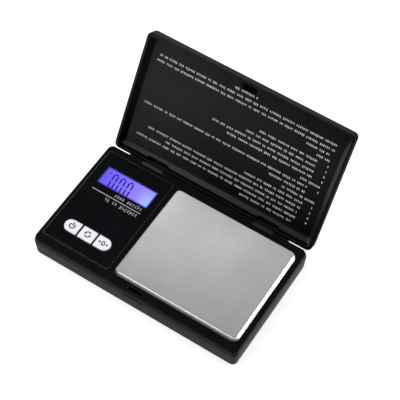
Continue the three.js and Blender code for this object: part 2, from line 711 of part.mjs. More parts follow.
function lidShape() {
  const shell = loft([
    lidLevel(RIM_Z, 0.15),
    lidLevel(RIM_Z + 0.25, 0),
    lidLevel(LID_TOP_Z - 1.6, 0.12),
    lidLevel(LID_TOP_Z - 0.7, 0.36),
    lidLevel(LID_TOP_Z - 0.2, 0.85),
    lidLevel(LID_TOP_Z, 1.6),
  ]);
  const dish = loft([dishLevel(RIM_Z - 0.5), dishLevel(LID_FLOOR_Z)]);
  const step = plate({ x0: -60.6, x1: 60.6, y0: -33.9, y1: 34.45, r: 1.4 }, RIM_Z - 1, LEDGE_Z);
  let body = cut(shell, dish, step);
  for (const side of [-1, 1]) {
    const x0 = Math.min(side * STATION_IN, side * STATION_OUT);
    const x1 = Math.max(side * STATION_IN, side * STATION_OUT);
    body = cut(body, box(x0, x1, 31.9, 34.45, RIM_Z - 1, LEDGE_Z + 0.9));
    body = joined(body, lidKnuckle(side));
  }
  for (const x0 of [-43, 28]) {
    body = cut(body, rodX(x0, x0 + 15, HINGE_Y, HINGE_Z, PIN_R + 0.15, 16));
  }
  // pocket in the inner face behind the catch
  const { half_x, y0, y1, deep } = CATCH_POCKET;
  body = cut(body, box(-half_x, half_x, y0, y1, LID_FLOOR_Z - 0.5, LID_FLOOR_Z + deep));
  // catch on the free edge, which drops into the slot in the deck
  const hook = bar(
    [
      [-34.0, LID_FLOOR_Z + 0.5],
      [-33.25, RIM_Z - 0.9],
      [-34.3, RIM_Z - 0.9],
      [-34.6, RIM_Z + 0.3],
      [-35.0, RIM_Z + 0.6],
      [-35.0, LID_FLOOR_Z + 0.5],
    ],
    CATCH_X[0],
    CATCH_X[1],
  );
  return joined(body, hook);
}

const cover = new THREE.Group();
const lidMesh = place("lid", lidShape(), LID_BLACK, cover);
lidMesh.position.set(0, -HINGE_Y, -HINGE_Z);
cover.position.set(0, HINGE_Y, HINGE_Z);
cover.rotation.x = THREE.MathUtils.degToRad(-LID_OPEN_DEG);
scale.add(cover);

export default scale;
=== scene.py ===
import json
import math
import random

import bpy
from mathutils import Matrix, Vector


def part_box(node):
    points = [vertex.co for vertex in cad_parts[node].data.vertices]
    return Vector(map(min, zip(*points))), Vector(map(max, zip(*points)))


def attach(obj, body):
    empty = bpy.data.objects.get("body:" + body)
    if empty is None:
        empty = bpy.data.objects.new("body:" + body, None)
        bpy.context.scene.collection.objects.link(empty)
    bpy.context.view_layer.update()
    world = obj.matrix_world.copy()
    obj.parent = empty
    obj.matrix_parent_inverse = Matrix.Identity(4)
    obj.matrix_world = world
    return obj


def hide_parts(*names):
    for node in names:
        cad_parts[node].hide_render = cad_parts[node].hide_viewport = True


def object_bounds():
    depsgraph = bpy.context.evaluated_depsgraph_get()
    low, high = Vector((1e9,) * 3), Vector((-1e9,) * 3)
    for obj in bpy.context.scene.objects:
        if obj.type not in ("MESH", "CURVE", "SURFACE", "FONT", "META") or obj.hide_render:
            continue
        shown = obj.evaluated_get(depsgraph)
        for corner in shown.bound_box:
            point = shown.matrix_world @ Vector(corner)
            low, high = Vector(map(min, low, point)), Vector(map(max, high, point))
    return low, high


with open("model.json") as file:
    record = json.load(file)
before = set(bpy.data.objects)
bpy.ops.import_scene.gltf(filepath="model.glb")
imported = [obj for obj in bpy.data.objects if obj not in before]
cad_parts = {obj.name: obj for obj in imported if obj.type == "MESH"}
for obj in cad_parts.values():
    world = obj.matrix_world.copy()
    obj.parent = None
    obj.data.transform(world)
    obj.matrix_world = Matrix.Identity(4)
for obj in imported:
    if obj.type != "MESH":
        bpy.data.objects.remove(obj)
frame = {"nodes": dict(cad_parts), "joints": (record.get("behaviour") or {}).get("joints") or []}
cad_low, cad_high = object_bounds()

MM = 0.001
nodes = frame["nodes"]
joints = {joint["name"]: joint for joint in frame["joints"]}

# ------------------------------------------------------------------ driving sizes, in millimetres
HINGE = Vector(joints["lid_hinge"]["pos_m"]) / MM
LID_OPEN = math.radians(joints["lid_hinge"]["range_deg"][1])
CORNER_STEPS = 14  # facets round each plan corner
INK_PROUD = 0.03  # thickness of printed ink
PRINT_SEED = 7

# the open cover: the directions towards its free edge and out of its inner face
LID_ALONG = Vector((0, -math.cos(LID_OPEN), math.sin(LID_OPEN)))
LID_INWARD = Vector((0, -math.sin(LID_OPEN), -math.cos(LID_OPEN)))
LID_FLOOR = 17.2  # height of the inner face when shut
REAR_EDGE = 33.85  # where the cover's places are counted from, along Y when shut

# camera of the reference view: place in metres, then turn, tilt and roll in degrees
CAMERA_PLACE = (0.20116, -0.30558, 0.62261)
CAMERA_AZIMUTH = 31.022
CAMERA_ELEVATION = 57.088
CAMERA_ROLL = 2.0
CAMERA_LENS = 120.84
SENSOR = 36.0


def box_mm(node):
    low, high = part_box(node)
    return low / MM, high / MM


# ------------------------------------------------------------------ colour and node helpers
def linear(value):
    value = value / 255
    return value / 12.92 if value <= 0.04045 else ((value + 0.055) / 1.055) ** 2.4


def rgb(red, green, blue):
    return (linear(red), linear(green), linear(blue), 1.0)


def fill_ramp(node, stops):
    """Gives a colour ramp node its (place, colour) stops."""
    elements = node.color_ramp.elements
    while len(elements) < len(stops):
        elements.new(0.5)
    for element, (place, colour) in zip(elements, stops):
        element.position = place
        element.color = colour


class Nodes:
    """A small builder for one material's node tree."""

    def __init__(self, name):
        self.material = bpy.data.materials.new(name)
        self.material.use_nodes = True
        self.tree = self.material.node_tree
        self.shader = self.tree.nodes["Principled BSDF"]
        self.output = self.tree.nodes["Material Output"]
        self.coords = self.tree.nodes.new("ShaderNodeTexCoord").outputs["Object"]

    def add(self, kind, **settings):
        node = self.tree.nodes.new(kind)
        for key, value in settings.items():
            setattr(node, key, value)
        return node

    def link(self, source, target):
        self.tree.links.new(source, target)

    def set(self, **values):
        for key, value in values.items():
            self.shader.inputs[key.replace("_", " ")].default_value = value

    def noise(self, size_mm, detail=3.0, rough=0.55, stretch=(1, 1, 1)):
        """Noise whose features measure about size_mm, drawn out by stretch."""
        mapping = self.add("ShaderNodeMapping")
        mapping.inputs["Scale"].default_value = [1 / s for s in stretch]
        self.link(self.coords, mapping.inputs["Vector"])
        noise = self.add("ShaderNodeTexNoise")
        noise.inputs["Scale"].default_value = 1 / (size_mm * MM)
        noise.inputs["Detail"].default_value = detail
        noise.inputs["Roughness"].default_value = rough
        self.link(mapping.outputs["Vector"], noise.inputs["Vector"])
        return noise.outputs["Fac"]

    def remap(self, value, low, high, from_low=0.3, from_high=0.7):
        """Maps from_low..from_high to low..high, and holds the ends."""
        node = self.add("ShaderNodeMapRange")
        node.inputs["From Min"].default_value = from_low
        node.inputs["From Max"].default_value = from_high
        node.inputs["To Min"].default_value = low
        node.inputs["To Max"].default_value = high
        self.link(value, node.inputs["Value"])
        return node.outputs["Result"]

    def mix(self, factor, first, second):
        node = self.add("ShaderNodeMix", data_type="RGBA")
        self.link(factor, node.inputs["Factor"])
        for socket, value in ((node.inputs[6], first), (node.inputs[7], second)):
            if isinstance(value, tuple):
                socket.default_value = value
            else:
                self.link(value, socket)
        return node.outputs[2]

    def maths(self, operation, first, second=0.0):
        node = self.add("ShaderNodeMath", operation=operation)
        for socket, value in zip(node.inputs, (first, second)):
            if isinstance(value, (int, float)):
                socket.default_value = value
            else:
                self.link(value, socket)
        return node.outputs[0]

    def bump(self, height, distance_mm):
        node = self.add("ShaderNodeBump")
        node.inputs["Distance"].default_value = distance_mm * MM
        self.link(height, node.inputs["Height"])
        self.link(node.outputs["Normal"], self.shader.inputs["Normal"])

    def openness(self, reach_mm):
        """1 on open surfaces, falling towards 0 in corners and seams."""
        node = self.add("ShaderNodeAmbientOcclusion", samples=8)
        node.inputs["Distance"].default_value = reach_mm * MM
        return node.outputs["AO"]

    def edges(self, radius_mm):
        """0 on flat faces, rising along sharp edges."""
        bevel = self.add("ShaderNodeBevel", samples=6)
        bevel.inputs["Radius"].default_value = radius_mm * MM
        face = self.add("ShaderNodeNewGeometry")
        dot = self.add("ShaderNodeVectorMath", operation="DOT_PRODUCT")
        self.link(bevel.outputs["Normal"], dot.inputs[0])
        self.link(face.outputs["True Normal"], dot.inputs[1])
        return self.maths("SUBTRACT", 1.0, dot.outputs["Value"])

    def ramp(self, factor, stops):
        """A colour ramp through (place, colour) stops."""
        node = self.add("ShaderNodeValToRGB")
        fill_ramp(node, stops)
        self.link(factor, node.inputs["Fac"])
        return node.outputs["Color"]

    def facing(self):
        """The X, Y and Z of the direction a face looks in."""
        node = self.add("ShaderNodeSeparateXYZ")
        self.link(self.add("ShaderNodeNewGeometry").outputs["Normal"], node.inputs[0])
        return node.outputs

    def along(self, direction, start_mm):
        """The rest position along a direction, in metres from start_mm."""
        dot = self.add("ShaderNodeVectorMath", operation="DOT_PRODUCT")
        self.link(self.coords, dot.inputs[0])
        dot.inputs[1].default_value = direction
        return self.maths("SUBTRACT", dot.outputs["Value"], start_mm * MM)

    def grazing(self):
        """0 seen square on, 1 seen edge on."""
        return self.add("ShaderNodeLayerWeight").outputs["Facing"]

    def axis(self, index):
        """The rest position along X, Y or Z, in metres."""
        node = self.add("ShaderNodeSeparateXYZ")
        self.link(self.coords, node.inputs[0])
        return node.outputs[index]


def scaled(colour, share):
    return tuple(channel * share for channel in colour[:3]) + (1.0,)


# ------------------------------------------------------------------ materials
EDGE_HIGHLIGHT_TONE = (0.29, 0.29, 0.3, 1.0)  # colour of the painted highlight along edges


def moulded_plastic(
    name, colour, roughness, specular, grain_mm=0.28, grain_depth=0.006,
    tone=0.25, edge_highlight=0.0, shade_mm=2.0, painted_light=None,
):
    """
    Moulded plastic: a fine grain, slow changes of tone and sheen, and painted shade that darkens colour
    and sheen in corners within `shade_mm`. Edges get a painted highlight by the share given for it. Seen
    edge on it loses its sheen. A painted-light step, when given, may paint light and shade into the base
    colour and the sheen from place to place.
    """
    m = Nodes(name)
    slow = m.noise(14, detail=2)
    rub = m.noise(1.2, detail=4, stretch=(6, 1, 1))
    # painted shade: colour and sheen are darkened in corners and seams, where shade falls
    painted_shade_openness = m.remap(m.openness(shade_mm), 0.2, 1.0, 0.3, 0.85)
    base = m.mix(m.remap(slow, 0, 1), scaled(colour, 1 - tone), scaled(colour, 1 + tone))
    base = m.mix(painted_shade_openness, scaled(colour, 0.3), base)
    # painted highlight: sharp edges are painted lighter, where they would catch light
    if edge_highlight:
        painted_edge_highlight = m.maths("MULTIPLY", m.remap(m.edges(0.4), 0, edge_highlight, 0.02, 0.14), painted_shade_openness)
        base = m.mix(painted_edge_highlight, base, EDGE_HIGHLIGHT_TONE)
    gloss = m.maths("MULTIPLY", painted_shade_openness, m.remap(m.grazing(), specular, specular * 0.05, 0.78, 0.95))
    # painted light and shade from place to place, when given
    if painted_light:
        base, gloss = painted_light(m, colour, base, gloss)
    m.link(base, m.shader.inputs["Base Color"])
    sheen = m.remap(slow, roughness - 0.03, roughness + 0.03)
    sheen = m.maths("ADD", sheen, m.remap(rub, -0.02, 0.03, 0.35, 0.75))
    m.link(sheen, m.shader.inputs["Roughness"])
    m.link(gloss, m.shader.inputs["Specular IOR Level"])
    m.bump(m.noise(grain_mm, detail=2), grain_depth)
    return m.material


RIM_START = 67.3  # the cover's free rim, counted from REAR_EDGE
CATCH_SHADE = {"half_x": 4.3, "low": 63.65, "high": 68.85}  # painted shade over the catch inside the free edge
SHELL = 2.1  # depth of shell behind the inner face where the painted light and shade still hold
FLOOR_START = 4.7  # where the inner face begins, past the slope at the hinge


def cover_painted_light(m, colour, base, gloss):
    """
    Painted light and shade on the cover: its end walls are duller, and painted paler away from the hinge.
    Inside, painted shade darkens its rim, its catch, and the part of the inner face that looks at the dark
    base.
    """
    place = m.along(LID_ALONG, HINGE.dot(LID_ALONG) + HINGE.y - REAR_EDGE)
    depth = m.along(LID_INWARD, HINGE.dot(LID_INWARD) - LID_FLOOR - SHELL + HINGE.z)
    outside = m.remap(depth, 1, 0, 0, 0.1 * MM)

    # painted light: faces looking along X are painted paler, fading out towards the hinge; they are also
    # duller
    ends = m.remap(m.maths("ABSOLUTE", m.facing()[0]), 0, 1, 0.4, 0.8)
    gloss = m.maths("MULTIPLY", gloss, m.remap(ends, 1, 0.1, 0, 1))
    ends = m.maths("MULTIPLY", ends, m.remap(place, 0.1, 1, 12 * MM, 34 * MM))
    base = m.mix(ends, base, scaled(colour, 3.4))

    # painted shade on the free rim
    rim = m.remap(place, 1, 0.72, (RIM_START - 0.3) * MM, (RIM_START + 0.3) * MM)
    # painted shade over the catch inside the free edge
    half, low, high = CATCH_SHADE["half_x"], CATCH_SHADE["low"], CATCH_SHADE["high"]
    beside = m.remap(m.maths("ABSOLUTE", m.axis(0)), 0, 1, (half - 0.2) * MM, (half + 0.2) * MM)
    below = m.remap(place, 1, 0, (low - 0.25) * MM, (low + 0.25) * MM)
    above = m.remap(place, 0, 1, (high - 0.05) * MM, (high + 0.05) * MM)
    clear = m.maths("MAXIMUM", beside, m.maths("MAXIMUM", above, below))
    catch = m.remap(clear, 0.12, 1, 0, 1)

    # painted shade, a dark reflection of the base, where the inner face looks at it: low down, towards +X
    floor = m.remap(place, 0, 1, (FLOOR_START - 0.5) * MM, (FLOOR_START + 0.5) * MM)
    low_down = m.maths("MULTIPLY", floor, m.remap(place, 1, 0, 8 * MM, 40 * MM))
    base_reflection_shade = m.maths("MULTIPLY", m.remap(m.axis(0), 0, 1, -45 * MM, -5 * MM), low_down)

    # the painted shade darkens colour and sheen; outside the shell none is painted
    shade = m.maths("MULTIPLY", m.maths("MULTIPLY", rim, catch), m.remap(base_reflection_shade, 1, 0.4, 0, 1))
    shade = m.maths("MAXIMUM", shade, outside)
    return m.mix(shade, scaled(colour, 0.1), base), m.maths("MULTIPLY", gloss, shade)


def brushed_metal(name, colour, roughness, fine_mm=0.16, long_mm=9.0, painted_bright_sides=False):
    """Brushed sheet: fine scratches along X that vary in tone and polish. Its sides may be painted
    brighter, a painted reflection, palest where they face +X.
    """
    m = Nodes(name)
    stretch = (long_mm / fine_mm, 1, 1)
    scratch = m.noise(fine_mm, detail=4, rough=0.7, stretch=stretch)
    streak = m.noise(0.45, detail=3, stretch=(12, 1, 1))
    slow = m.noise(22, detail=1)
    tone = m.mix(m.remap(scratch, 0, 1, 0.3, 0.7), scaled(colour, 0.8), scaled(colour, 1.16))
    tone = m.mix(m.remap(streak, 0, 0.5, 0.4, 0.75), tone, scaled(colour, 0.82))
    # painted reflection: the bent sides are painted paler, near white where they face +X
    if painted_bright_sides:
        facing = m.facing()
        side = m.remap(facing[2], 1, 0, 0.6, 0.97)
        right = m.remap(facing[0], 0, 1, 0.3, 0.8)
        tone = m.mix(side, tone, m.mix(right, scaled(colour, 1.2), scaled(colour, 2.9)))
    m.link(tone, m.shader.inputs["Base Color"])
    polish = m.remap(scratch, roughness - 0.07, roughness + 0.07)
    polish = m.maths("ADD", polish, m.remap(slow, -0.02, 0.02))
    m.link(polish, m.shader.inputs["Roughness"])
    m.set(Metallic=1.0, Anisotropic=0.55)
    tangent = m.add("ShaderNodeCombineXYZ")
    tangent.inputs["X"].default_value = 1.0
    m.link(tangent.outputs[0], m.shader.inputs["Tangent"])
    m.bump(scratch, 0.0025)
    return m.material


def plated_metal(name, colour, roughness):
    """Plated steel: fine turning marks and small changes of polish."""
    m = Nodes(name)
    marks = m.noise(0.35, detail=3, stretch=(1, 1, 0.2))
    tone = m.mix(m.remap(marks, 0, 1), scaled(colour, 0.86), scaled(colour, 1.08))
    m.link(tone, m.shader.inputs["Base Color"])
    m.link(m.remap(marks, roughness - 0.06, roughness + 0.08), m.shader.inputs["Roughness"])
    m.set(Metallic=1.0)
    m.bump(marks, 0.004)
    return m.material


def printed_ink(name, colour):
    """Screen-printed ink: slightly uneven coverage."""
    m = Nodes(name)
    cover = m.noise(0.5, detail=3)
    tone = m.mix(m.remap(cover, 0, 1), scaled(colour, 0.82), scaled(colour, 1.05))
    m.link(tone, m.shader.inputs["Base Color"])
    m.link(m.remap(cover, 0.45, 0.6), m.shader.inputs["Roughness"])
    m.set(Specular_IOR_Level=0.2)
    return m.material


LIT_SHIFT = (-0.25, 0.4)  # how far the lit area's middle lies from the window's, along X and Y


def display_glow(name):
    """The lit display: violet-blue at the left, paler to the right, ice blue in the near right corner."""
    m = Nodes(name)
    low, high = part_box("lcd_glass")
    across = m.remap(m.axis(0), 0, 1, low.x, high.x)
    along = m.remap(m.axis(1), 0, 1, low.y, high.y)
    stops = (
        (0.0, rgb(100, 84, 255)),
        (0.22, rgb(118, 104, 255)),
        (0.5, rgb(142, 124, 255)),
        (0.78, rgb(162, 140, 255)),
        (1.0, rgb(150, 160, 255)),
    )
    blue = m.ramp(across, stops)
    near = m.maths("SUBTRACT", 1.0, along)
    corner = m.maths("MULTIPLY", m.remap(across, 0, 1, 0.72, 0.98), m.remap(near, 0, 1, 0.1, 0.7))
    colour = m.mix(corner, blue, rgb(168, 214, 255))
    cloud = m.noise(5, detail=2)
    colour = m.mix(m.remap(cloud, 0, 0.18), colour, rgb(120, 104, 255))
    window_low, window_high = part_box("display_lens")
    middle = (window_low + window_high) / 2
    half = (window_high - window_low) / 2
    border = None
    for index in (0, 1):
        lit_middle = middle[index] + LIT_SHIFT[index] * MM
        offset = m.maths("ABSOLUTE", m.maths("SUBTRACT", m.axis(index), lit_middle))
        edge = m.remap(offset, 0, 1, half[index] - 0.75 * MM, half[index] - 0.1 * MM)
        border = edge if border is None else m.maths("MAXIMUM", border, edge)
    colour = m.mix(border, colour, rgb(64, 36, 246))
    m.link(colour, m.shader.inputs["Emission Color"])
    m.set(Emission_Strength=0.95, Base_Color=(0.02, 0.015, 0.12, 1), Roughness=0.3, Specular_IOR_Level=0.1)
    return m.material


def clear_window(name):
    """The acrylic window: see-through, with a weak reflection outside and faint wipe marks."""
    m = Nodes(name)
    wipe = m.noise(2.0, detail=3, stretch=(5, 1, 1))
    gloss = m.add("ShaderNodeBsdfGlossy")
    m.link(m.remap(wipe, 0.06, 0.14), gloss.inputs["Roughness"])
    clear = m.add("ShaderNodeBsdfTransparent")
    fresnel = m.add("ShaderNodeFresnel")
    fresnel.inputs["IOR"].default_value = 1.25
    back = m.add("ShaderNodeNewGeometry").outputs["Backfacing"]
    mixed = m.add("ShaderNodeMixShader")
    outer = m.maths("SUBTRACT", 1.0, back)
    m.link(m.maths("MULTIPLY", fresnel.outputs[0], outer), mixed.inputs[0])
    m.link(clear.outputs[0], mixed.inputs[1])
    m.link(gloss.outputs[0], mixed.inputs[2])
    m.link(mixed.outputs[0], m.output.inputs["Surface"])
    return m.material


def glow_ink(name, colour):
    """Dark display segments, which the light behind still tints."""
    m = Nodes(name)
    cover = m.noise(0.6, detail=2)
    m.link(m.mix(m.remap(cover, 0, 0.3), colour, scaled(colour, 1.4)), m.shader.inputs["Emission Color"])
    m.set(Emission_Strength=1.0, Base_Color=(0.01, 0.01, 0.05, 1), Roughness=0.4, Specular_IOR_Level=0.1)
    return m.material


def circuit_board(name):
    """Green solder mask with copper tracks showing faintly through it."""
    m = Nodes(name)
    tracks = m.add("ShaderNodeTexBrick")
    tracks.inputs["Scale"].default_value = 420
    tracks.inputs["Mortar Size"].default_value = 0.018
    tracks.inputs["Color1"].default_value = (0.012, 0.075, 0.03, 1)
    tracks.inputs["Color2"].default_value = (0.016, 0.095, 0.038, 1)
    tracks.inputs["Mortar"].default_value = (0.06, 0.19, 0.07, 1)
    m.link(m.coords, tracks.inputs["Vector"])
    m.link(tracks.outputs["Color"], m.shader.inputs["Base Color"])
    m.link(m.remap(m.noise(3), 0.25, 0.4), m.shader.inputs["Roughness"])
    m.bump(tracks.outputs["Fac"], 0.02)
    return m.material


CASE = moulded_plastic("case_black", rgb(10, 11, 13), 0.33, 0.06, edge_highlight=0.2)
LOWER = moulded_plastic("lower_black", rgb(8, 9, 12), 0.38, 0.045)
COVER = moulded_plastic(
    "cover_black", rgb(8, 9, 10), 0.42, 0.045, grain_mm=0.24, tone=0.1, shade_mm=6.0, painted_light=cover_painted_light
)
PANEL = moulded_plastic(
    "panel_black", rgb(11, 12, 17), 0.3, 0.06, grain_mm=0.18, grain_depth=0.003, edge_highlight=1.0
)
DOOR = moulded_plastic("door_black", rgb(24, 25, 27), 0.46, 0.3)
KEYS = moulded_plastic(
    "key_white", rgb(246, 247, 252), 0.42, 0.4, grain_mm=0.2, grain_depth=0.002, tone=0.03
)
RUBBER = moulded_plastic("foot_rubber", rgb(26, 26, 27), 0.75, 0.3, grain_mm=0.5, grain_depth=0.02)
RESIN = moulded_plastic("chip_resin", rgb(14, 14, 15), 0.3, 0.4, grain_mm=0.4)
GUIDE = moulded_plastic("light_guide", rgb(225, 230, 250), 0.35, 0.4, tone=0.03)
SEALANT = moulded_plastic(
    "gauge_sealant", rgb(222, 218, 205), 0.55, 0.3, grain_mm=1.4, grain_depth=0.06, tone=0.06
)
SLEEVE = moulded_plastic("cell_sleeve", rgb(34, 92, 128), 0.28, 0.5, grain_mm=0.8, grain_depth=0.002)
WIRE_RED = moulded_plastic("wire_red", rgb(170, 30, 26), 0.4, 0.4)
WIRE_BLACK = moulded_plastic("wire_black", rgb(20, 20, 21), 0.42, 0.4)
STEEL = brushed_metal("tray_steel", (0.35, 0.347, 0.347, 1), 0.38, painted_bright_sides=True)
ALUMINIUM = brushed_metal("load_cell_aluminium", (0.72, 0.73, 0.75, 1), 0.36, fine_mm=0.3, long_mm=4)
ZINC = plated_metal("zinc_steel", (0.6, 0.6, 0.62, 1), 0.34)
NICKEL = plated_metal("contact_nickel", (0.72, 0.69, 0.62, 1), 0.25)
WHITE_INK = printed_ink("white_ink", rgb(214, 216, 220))
LID_INK = printed_ink("cover_ink", rgb(250, 250, 252))
KEY_INK = printed_ink("key_ink", rgb(16, 16, 20))
GLOW = display_glow("display_glow")
SEGMENTS = glow_ink("display_segments", rgb(22, 8, 150))
WINDOW = clear_window("window_acrylic")
BOARD = circuit_board("board_green")


FEET = [f"foot_{i}" for i in range(1, 5)]
CASE_SCREWS = [f"case_screw_{i}" for i in range(1, 5)]
SWITCHES = [f"tact_switch_{i}" for i in range(1, 4)]
BEAM_SCREWS = ["load_cell_screw_1", "load_cell_screw_2", "tray_screw_1", "tray_screw_2"]
HINGE_PINS = ["hinge_pin_left", "hinge_pin_right"]
CELLS = ["battery_1", "battery_2"]


def dress(material, *names):
    """Gives CAD nodes a material in place of the plain one they were packed with."""
    for name in names:
        data = nodes[name].data
        data.materials.clear()
        data.materials.append(material)


dress(CASE, "top_case", "lcd_frame", "tray_carrier")
dress(LOWER, "bottom_case")
dress(DOOR, "battery_door")
dress(COVER, "lid")
dress(PANEL, "display_panel")
dress(WINDOW, "display_lens")
dress(GLOW, "lcd_glass")
dress(GUIDE, "backlight")
dress(RUBBER, "zebra_strip", *FEET)
dress(BOARD, "main_board")
dress(RESIN, "controller_chip", *SWITCHES)
dress(ALUMINIUM, "load_cell")
dress(SEALANT, "gauge_coating")
dress(ZINC, *HINGE_PINS, *CASE_SCREWS, *BEAM_SCREWS)
dress(NICKEL, "battery_spring_1", "battery_spring_2")
dress(NICKEL, "contact_negative", "contact_positive", "contact_link")
dress(SLEEVE, *CELLS)
dress(WIRE_RED, "battery_wire_positive")
dress(WIRE_BLACK, "battery_wire_negative", "load_cell_cable")


# ------------------------------------------------------------------ edges of the CAD pieces
def soften(name, width_mm):
    """Merges coplanar facets, then rounds each sharp edge as a mould does."""
    piece = nodes[name]
    piece.data.shade_smooth()
    weld = piece.modifiers.new("weld", "WELD")
    weld.merge_threshold = 0.002 * MM
    flat = piece.modifiers.new("flat", "DECIMATE")
    flat.decimate_type = "DISSOLVE"
    flat.angle_limit = math.radians(1.0)
    bevel = piece.modifiers.new("edge", "BEVEL")
    bevel.width = width_mm * MM
    bevel.segments = 2
    bevel.limit_method = "ANGLE"
    bevel.angle_limit = math.radians(28)
    bevel.use_clamp_overlap = True
    bevel.harden_normals = False
    normals = piece.modifiers.new("normals", "WEIGHTED_NORMAL")
    normals.keep_sharp = False
    normals.weight = 50


for width, names in (
    (0.08, ["display_panel"]),
    (0.12, ["lid", "battery_door", "controller_chip", "gauge_coating", *HINGE_PINS, *CELLS]),
    (0.14, ["top_case", "bottom_case"]),
    (0.15, ["load_cell", *CASE_SCREWS]),
    (0.2, ["tray_carrier", *BEAM_SCREWS]),
    (0.25, FEET),
):
    for name in names:
        soften(name, width)


# ------------------------------------------------------------------ mesh helpers
def add_mesh(name, vertices, faces, material, body, lid=False):
    """A new piece from millimetre vertices. A piece of the cover is drawn shut, then turned open."""
    data = bpy.data.meshes.new(name)
    data.from_pydata([tuple(Vector(v) * MM) for v in vertices], [], faces)
    data.validate()
    piece = bpy.data.objects.new(name, data)
    bpy.context.scene.collection.objects.link(piece)
    data.materials.append(material)
    if lid:
        pivot = Matrix.Translation(HINGE * MM)
        data.transform(pivot @ Matrix.Rotation(-LID_OPEN, 4, "X") @ pivot.inverted())
    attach(piece, body)
    return piece


def rounded_ring(z, x0, x1, y0, y1, r):
    points = []
    centres = ((x1 - r, y1 - r), (x0 + r, y1 - r), (x0 + r, y0 + r), (x1 - r, y0 + r))
    for quarter, (cx, cy) in enumerate(centres):
        for step in range(CORNER_STEPS + 1):
            angle = (quarter + step / CORNER_STEPS) * math.pi / 2
            points.append((cx + r * math.cos(angle), cy + r * math.sin(angle), z))
    return points


def bridge(count, first, second):
    """Quads between two rings of equal count, given the index of each ring's first vertex."""
    return [
        (first + i, first + (i + 1) % count, second + (i + 1) % count, second + i)
        for i in range(count)
    ]


class Strokes:
    """Collects thin ink strokes, each a closed slab that stands on a surface at height z."""

    def __init__(self, z, down=False):
        self.vertices = []
        self.faces = []
        self.low = z - INK_PROUD * (1 if down else 0.6)
        self.high = z + INK_PROUD * (0.6 if down else 1)

    def slab(self, corners):
        """A slab with the given plan corners, anticlockwise from above."""
        start = len(self.vertices)
        count = len(corners)
        for height in (self.low, self.high):
            self.vertices += [(x, y, height) for x, y in corners]
        self.faces.append(tuple(start + i for i in reversed(range(count))))
        self.faces.append(tuple(start + count + i for i in range(count)))
        self.faces += bridge(count, start, start + count)

    def line(self, start, end, width):
        """A straight stroke of a given width with square ends."""
        a, b = Vector(start), Vector(end)
        along = (b - a).normalized() * width / 2
        side = Vector((-along.y, along.x))
        corners = (a - along - side, b + along - side, b + along + side, a - along + side)
        self.slab([tuple(corner) for corner in corners])

    def box(self, x0, x1, y0, y1):
        self.slab([(x0, y0), (x1, y0), (x1, y1), (x0, y1)])

    def arc(self, centre, radius, width, start, end, steps):
        """An arc stroke from start up to end, in degrees, built from joined quads."""
        cx, cy = centre
        near, far = radius - width / 2, radius + width / 2
        for i in range(steps):
            corners = []
            for share, r in ((i, near), (i, far), (i + 1, far), (i + 1, near)):
                angle = math.radians(start + (end - start) * share / steps)
                corners.append((cx + r * math.cos(angle), cy + r * math.sin(angle)))
            self.slab(corners)

    def piece(self, name, material, body, lid=False):
        return add_mesh(name, self.vertices, self.faces, material, body, lid)


# ------------------------------------------------------------------ stand-in lettering
# Rows of strokes that read as small type from afar and spell nothing.
LETTER_PEN = 0.22  # sizes of a stand-in letter, as shares of its height
LETTER_PITCH = 0.92
LETTER_WIDTH = 0.52
WORD_GAP = 0.9


def stand_in_word(strokes, x, y, letters, height, rng, flip=False):
    pen = LETTER_PEN * height
    pitch = LETTER_PITCH * height
    wide = LETTER_WIDTH * height
    sign = -1 if flip else 1
    for index in range(letters):
        left = x + index * pitch
        tall = height * (1.3 if rng.random() < 0.2 else 1.0)
        y_from, y_to = sorted((y, y + sign * tall))
        middle = y + sign * height * 0.5
        kind = rng.randrange(5)
        if kind != 3:
            strokes.box(left, left + pen, y_from, y_to)
        if kind in (0, 2, 3):
            strokes.box(left + wide - pen, left + wide, *sorted((y, y + sign * height)))
        if kind in (0, 1, 4):
            edge = y + sign * height
            strokes.box(left, left + wide, *sorted((edge - sign * pen, edge)))
        if kind in (1, 2, 3):
            strokes.box(left, left + wide, middle - pen / 2, middle + pen / 2)
        if kind in (3, 4):
            strokes.box(left, left + wide, *sorted((y, y + sign * pen)))
    return letters * pitch


def stand_in_row(strokes, x0, x1, y, height, rng, flip=False):
    """Words from x0 to x1 on the line y. `flip` hangs them below the line."""
    x = x0
    pitch = LETTER_PITCH * height
    while x < x1 - pitch * 1.5:
        room = int((x1 - x) / pitch)
        letters = min(rng.randint(2, 8), room)
        if room - letters < 2:
            letters = room
        x += stand_in_word(strokes, x, y, letters, height, rng, flip)
        x += WORD_GAP * height


# ------------------------------------------------------------------ tray
TRAY_SHEET = 0.4  # thickness
TRAY_FLARE = math.radians(24)  # lean of the skirt
TRAY_BEND = 0.45  # outer radius of the bend
TRAY_BEND_STEPS = 6
TRAY_REACH = 1.4  # how far the flat top stands in from the skirt's lower rim
TRAY_CORNERS = (3.4, 1.9)  # plan radius at the rim and round the flat top


